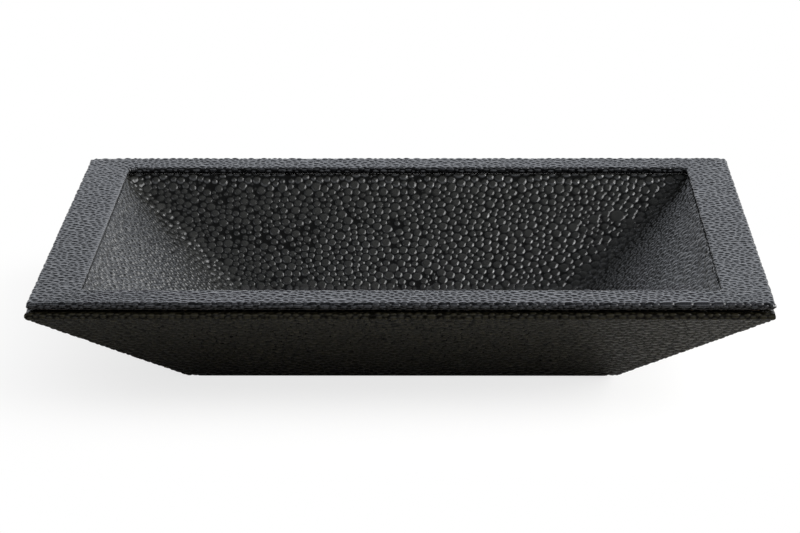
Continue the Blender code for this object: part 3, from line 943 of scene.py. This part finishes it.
def makeRim(look):
    fine, coarse = look["spacing"], look["marginSpacing"]
    corners = rimCorners(look)
    outer = roundedLine(corners, look["folds"], [coarse, fine, fine, fine, coarse])
    hidden = offsetInward(corners, dish["leather"])
    hiddenFolds = [fold - dish["leather"] for fold in look["folds"][::-1]]
    inner = roundedLine(hidden[::-1], hiddenFolds, look["hiddenSpacing"])
    line = np.concatenate([outer, inner])
    radii = rimRadius(look, line[:, 0])
    # on the hide the section lies flat, laid out from the middle of the rim's top
    lengths = arcLengths(outer)
    below = outer[:, 1] < dish["top"] - 1e-6
    middle = np.argmin(np.abs(outer[:, 0] - look["setback"] - look["width"] / 2) + below)
    flat = outer[middle, 0] + lengths - lengths[middle]
    flat = np.concatenate([flat, np.interp(inner[:, 0], outer[:, 0], flat)])
    flatRadii = np.maximum(radii + line[:, 0] - flat, 0.0002)
    start, growth = look["grainStart"]
    edge = look["margin"] + start
    shown = np.zeros(len(line))
    shown[:len(outer)] = np.clip(np.minimum(lengths - edge, lengths[-1] - edge - lengths) / growth, 0, 1)
    flatter, reach = look["windowSmooth"]
    fromWindow = lengths[-1] - lengths - look["margin"] - (dish["top"] - dish["rimBottom"]) / 2
    nearWindow = np.zeros((len(line), 1))
    nearWindow[:len(outer), 0] = flatter * np.exp(-(fromWindow / reach) ** 2)
    for side, turn, isLong in sides:
        half, distance = sideReach(isLong)
        steps = math.ceil((2 * half - 4 * look["cornerRadius"]) / look["spacing"])
        place, normal = sweepSide(line, radii, half, distance, look["cornerSteps"], steps)
        place = flareCorners(look, place, half, distance)
        grainLine = np.stack([flat, 0 * flat], 1)
        pattern, _ = sweepSide(grainLine, flatRadii, half, distance, look["cornerSteps"], steps)
        normal[len(outer):] = 0.0
        alongSide = np.sin(np.linspace(0, math.pi, place.shape[1])) ** 0.4 * (side == "left")
        amount = shown[:, None] * (1 - nearWindow * alongSide)
        placed = turnedSide(place, turn) + (look["aside"], 0.0, 0.0)
        mesh = sheetMesh(side, placed, turnedSide(normal, turn), turnedSide(pattern, turn), amount)
        emboss("rimLeather_" + side, mesh, look, hideBeads, rimMaterial, "rim_leather")


makeRim(rim)


# Lining: sloping walls with rounded valleys, a cove and the floor

lining = {
    "mouthInset": 0.0151,
    "mouthFold": 0.0006,
    # at the mouth the leather bulges up to a crest and drops steeply at first
    "lipWidth": 0.0030,
    "crest": (0.0160, 0.0008),  # its inset, and its height above the casing's top
    "joinInset": 0.0200,
    "joinRadius": 0.0120,
    "cove": 0.0040,
    "mouthValley": 0.0040,
    "floorValley": 0.0075,
    "margin": 0.0050,
    "spacing": (0.00045, 0.00038),  # down the walls and along them
    "marginSpacing": 0.001,
    "hiddenSpacing": (0.004, 0.006, 0.003, 0.002, 0.005),
    "floorSpacing": 0.00050,
    "cornerSteps": 22,
    "grainStart": (-0.0015, 0.0010),  # as on the rim
    "sizeGrowth": 1.6,  # to the right a bead grows by this share for each metre, between these places
    "sizeEnds": (-0.060, 0.035),
    "scatter": 0.0002,  # how far a bead may start from a point of the surface
    "grain": {
        "Bead Radius": beads["radius"], "Relief": 0.00048, "Raised": 0.15,
        "Flank": 0.50, "Flank Curve": 1.6, "Lean": 0.035, "Swell": 0.00006,
    },
    # larger beads on the back wall: place along it, height and radius
    "largeBeads": (
        (0.0777, 0.0249, 0.0029), (0.0691, 0.0240, 0.0022), (0.0613, 0.0217, 0.0021),
        (0.0412, 0.0199, 0.00175), (0.0824, 0.0233, 0.0018), (0.0835, 0.0262, 0.0018),
        (0.0819, 0.0191, 0.0017), (0.0761, 0.0171, 0.0016), (0.0713, 0.0159, 0.0018),
        (0.0682, 0.0151, 0.0018), (0.0734, 0.0255, 0.0017), (0.0652, 0.0210, 0.0017),
        (0.0707, 0.0187, 0.0016),
    ),
}


def liningCorners(look):
    drop = dish["casingTop"] - dish["floorHeight"]
    floorInset = look["mouthInset"] + drop / math.tan(dish["innerAngle"])
    crestInset, rise = look["crest"]
    joinDrop = (look["joinInset"] - look["mouthInset"]) * math.tan(dish["innerAngle"])
    return [
        (look["mouthInset"] - look["margin"], dish["casingTop"]),
        (look["mouthInset"] - look["lipWidth"], dish["casingTop"]),
        (crestInset, dish["casingTop"] + rise),
        (look["joinInset"], dish["casingTop"] - joinDrop),
        (floorInset, dish["floorHeight"]),
        (floorInset + look["cove"], dish["floorHeight"]),
    ]


def liningRadius(look, line):
    growth = (look["floorValley"] - look["mouthValley"]) / (dish["casingTop"] - dish["floorHeight"])
    margin = np.maximum(look["mouthInset"] - line[:, 0], 0.0)
    return look["mouthValley"] + (dish["casingTop"] - line[:, 1]) * growth + margin


def liningBeads(look, sheets, floorReach):
    # beads over the curved surface: they move freely and are set back onto it each time
    rng = np.random.default_rng(beads["seed"] + 1)
    floorX, floorY = np.meshgrid(*[np.linspace(-reach, reach, 60) for reach in floorReach])
    floor = np.stack([floorX, floorY, np.full(floorX.shape, dish["floorHeight"])], -1)
    upright = np.broadcast_to(np.array([0.0, 0.0, 1.0]), floor.shape)
    surfaces, normals, areas = [], [], []
    for place, normal in [*sheets, (floor, upright)]:
        place, normal = place[::2, ::2], normal[::2, ::2]
        area = np.linalg.norm(np.cross(*[np.gradient(place, axis=axis) for axis in (0, 1)]), axis=-1)
        surfaces.append(place.reshape(-1, 3))
        normals.append(normal.reshape(-1, 3))
        areas.append(area.ravel())
    surface, normal, area = map(np.concatenate, (surfaces, normals, areas))
    tree = buildTree(surface)

    def nearestSurface(places):
        return np.array([tree.find(place)[1] for place in places])

    def fitBack(places):
        index = nearestSurface(places)
        away = ((places - surface[index]) * normal[index]).sum(1)
        return places - normal[index] * away[:, None]

    def scatter(count):
        index = rng.choice(len(surface), count, p=area / area.sum())
        return surface[index] + rng.normal(scale=look["scatter"], size=(count, 3))

    large = []
    for along, height, _ in look["largeBeads"]:
        inset = look["mouthInset"] + (dish["casingTop"] - height) / math.tan(dish["innerAngle"])
        large.append((along, dish["halfDepth"] - inset, height))
    count = int(beads["packing"] * area.sum() / (math.pi * beads["radius"] ** 2))
    radii = np.concatenate([[radius for _, _, radius in look["largeBeads"]], drawRadii(beads, rng, count)])
    places = np.concatenate([large, scatter(count)])
    held = len(large)
    radii[held:] *= 1 + look["sizeGrowth"] * np.clip(places[held:, 0], *look["sizeEnds"])
    places = settleBeads(beads, places, radii, held, fitBack)
    radii = shrinkBeads(beads, places, radii, held)
    places, radii = fillGaps(beads, places, radii, fitBack(scatter(count * beads["darts"])))
    print("lining", len(places), "beads")
    return beadCloud("liningBeads", beads, places, radii, normal[nearestSurface(places)])


def makeLining(look):
    fine, along = look["spacing"]
    corners = liningCorners(look)
    fold, join, cove, thin = look["mouthFold"], look["joinRadius"], look["cove"], dish["leather"]
    outer = roundedLine(corners, [fold, fold, join, cove], [look["marginSpacing"], fine, fine, fine, fine])
    hidden = offsetInward(corners, thin)
    hiddenRadii = [cove + thin, join + thin, fold - thin, fold + thin]
    inner = roundedLine(hidden[::-1], hiddenRadii, look["hiddenSpacing"])
    line = np.concatenate([outer, inner])
    radii = liningRadius(look, line)
    lengths = arcLengths(outer)
    start, growth = look["grainStart"]
    shown = np.zeros(len(line))
    shown[:len(outer)] = np.clip((lengths - look["margin"] - start) / growth, 0, 1)
    sheets = []
    for side, turn, isLong in sides:
        half, distance = sideReach(isLong)
        steps = math.ceil((2 * half - 2 * look["mouthInset"] - 2 * look["mouthValley"]) / along)
        place, normal = sweepSide(line, radii, half, distance, look["cornerSteps"], steps)
        normal[len(outer) - 1] = normal[len(outer) - 2]  # the sweep's own leans to the hidden side
        sheets.append((turnedSide(place, turn), turnedSide(normal, turn)))
    seen = slice(np.argmax(shown > 0), len(outer))
    visible = [(place[seen], normal[seen]) for place, normal in sheets]
    boundary = np.concatenate([place[-1, :-1] for place, _ in visible])[:, :2]
    cloud = liningBeads(look, visible, boundary.max(0) - 0.001)
    for (side, _, _), (place, normal) in zip(sides, sheets):
        normal[len(outer):] = 0.0
        amount = np.broadcast_to(shown[:, None], place.shape[:2])
        mesh = sheetMesh(side, place, normal, place, amount)
        emboss("liningLeather_" + side, mesh, look, cloud, liningMaterial, "lining_leather")
    makeLiningFloor(look, boundary, cloud)
    bpy.data.objects.remove(cloud)


def makeLiningFloor(look, boundary, cloud):
    # the floor shares the walls' last row of points, and a grid fills the rest
    spacing = look["floorSpacing"]
    high = boundary.max(0) - 0.6 * spacing
    across = [np.linspace(-reach, reach, math.ceil(2 * reach / spacing) + 1) for reach in high]
    gridX, gridY = np.meshgrid(*across)
    inside = np.stack([gridX.ravel(), gridY.ravel()], 1)
    # only grid points well inside the rounded outline are kept
    radius = look["floorValley"]
    core = np.maximum(np.abs(inside) - (boundary.max(0) - radius), 0.0)
    inside = inside[np.linalg.norm(core, axis=1) < radius - 0.7 * spacing]
    count = len(boundary)
    loop = [(k, (k + 1) % count) for k in range(count)]
    points = [Vector(point) for point in np.concatenate([boundary, inside])]
    flatPoints, _, faces, origins, _, _ = delaunay_2d_cdt(points, loop, [list(range(count))], 1, 1e-9)
    top = np.array([(point.x, point.y, dish["floorHeight"]) for point in flatPoints])
    order = np.full(count, -1)
    for index, origin in enumerate(origins):
        for source in origin:
            if source < count:
                order[source] = index
    low = top[order] - (0.0, 0.0, dish["leather"])
    start = len(top)
    faces = [list(face) for face in faces]
    for k in range(count):
        following = (k + 1) % count
        faces.append([int(order[k]), start + k, start + following, int(order[following])])
    faces.append([start + k for k in range(count)][::-1])
    place = np.concatenate([top, low])
    normal = np.zeros_like(place)
    normal[:start, 2] = 1.0
    amount = (np.arange(len(place)) < start).astype(float)
    mesh = bpy.data.meshes.new("floor")
    mesh.from_pydata(place.tolist(), [], faces)
    keepGrain(mesh, normal, place, amount)
    emboss("liningLeather_floor", mesh, look, cloud, liningMaterial, "lining_leather")


makeLining(lining)


# Casing: four mitred leather panels round the outside

casing = {
    "bandHeight": 0.0021,
    "fold": 0.0009,
    "footFold": 0.0010,
    "topMargin": 0.0050,
    "footMargin": 0.0080,
    "seam": 0.00005,  # each panel ends this far from the mitre
    "edgeRoll": 0.0005,  # over this width each end rolls in by the depth
    "edgeDepth": 0.00012,
    "spacing": {"front": 0.00044, "right": 0.00055, "back": 0.00055, "left": 0.00055},
    "marginSpacing": (0.0012, 0.001),  # under the foot and over the top
    "hiddenSpacing": (0.004, 0.002, 0.008, 0.008),
    "grainStart": (-0.0020, 0.0010),  # as on the rim
    "cutFrom": 0.104,  # where on the hide the foot of each panel lies
    "setback": 0.00013,
    "aside": -0.00011,  # against the rim's offset
    "grain": {
        "Bead Radius": beads["hideRadius"], "Relief": 0.00032, "Raised": 0.0,
        "Flank": 0.62, "Flank Curve": 1.7, "Lean": 0.03, "Swell": 0.00006,
    },
}


def casingCorners(look):
    band = dish["casingTop"] - look["bandHeight"]
    foot = (band - dish["casingBottom"]) / math.tan(dish["outerAngle"])
    return [
        (foot + look["footMargin"], dish["casingBottom"]),
        (foot, dish["casingBottom"]),
        (look["setback"], band),
        (look["setback"], dish["casingTop"]),
        (look["topMargin"], dish["casingTop"]),
    ]


def makeCasing(look):
    corners = casingCorners(look)
    folds = [look["footFold"], look["fold"], look["fold"]]
    hidden = offsetInward(corners, dish["leather"])
    hiddenFolds = [fold - dish["leather"] for fold in folds[::-1]]
    inner = roundedLine(hidden[::-1], hiddenFolds, look["hiddenSpacing"])
    for side, turn, isLong in sides:
        fine = look["spacing"][side]
        foot, top = look["marginSpacing"]
        outer = roundedLine(corners, folds, [foot, fine, fine, top])
        line = np.concatenate([outer, inner])
        slope = np.gradient(line, axis=0)
        lengths = arcLengths(outer)
        flat = np.concatenate([lengths, np.interp(inner[:, 1], outer[:, 1], lengths)])
        start, growth = look["grainStart"]
        shown = np.zeros(len(line))
        shown[:len(outer)] = np.clip((lengths - look["footMargin"] - start) / growth, 0, 1)
        half, distance = sideReach(isLong)
        # along each row the panel is cut on the mitre, less the seam, and its ends roll in a little
        reach = half - line[:, 0:1] - look["seam"]
        roll = look["edgeRoll"]
        steps = math.ceil((2 * half - 2 * roll) / fine)
        inwards = np.linspace(0, roll, 5)[None, :-1]
        straight = np.linspace(-1, 1, steps + 1)[None, :]
        x = np.concatenate([-reach + inwards, (reach - roll) * straight, (reach - inwards)[:, ::-1]], 1)
        fromEnd = np.minimum(x + reach, reach - x)
        drop = np.clip(1 - fromEnd / roll, 0, 1)
        depth = look["edgeDepth"] * (1 - np.sqrt(1 - drop ** 2))
        depth[len(outer):] = 0.0
        place = np.stack([x, -(distance - line[:, 0:1]) + 0 * x, line[:, 1:2] + 0 * x], -1)
        normal = np.concatenate([0 * slope[:, :1], -slope[:, 1:], slope[:, :1]], 1)
        normal /= np.linalg.norm(normal, axis=1, keepdims=True)
        normal = np.broadcast_to(normal[:, None], place.shape).copy()
        place = place - normal * depth[..., None]
        cut = (flat[:, None] - look["cutFrom"]) * (-1 if turn > 1 else 1)
        pattern = np.stack([x, cut + 0 * x, 0 * x], -1)
        normal[len(outer):] = 0.0
        amount = np.broadcast_to(shown[:, None], x.shape)
        placed = turnedSide(place, turn) + (look["aside"], 0.0, 0.0)
        mesh = sheetMesh(side, placed, turnedSide(normal, turn), pattern, amount)
        node = "casing_leather_" + side
        emboss("casingLeather_" + side, mesh, look, hideBeads, casingMaterial, node)


makeCasing(casing)
bpy.data.objects.remove(hideBeads)
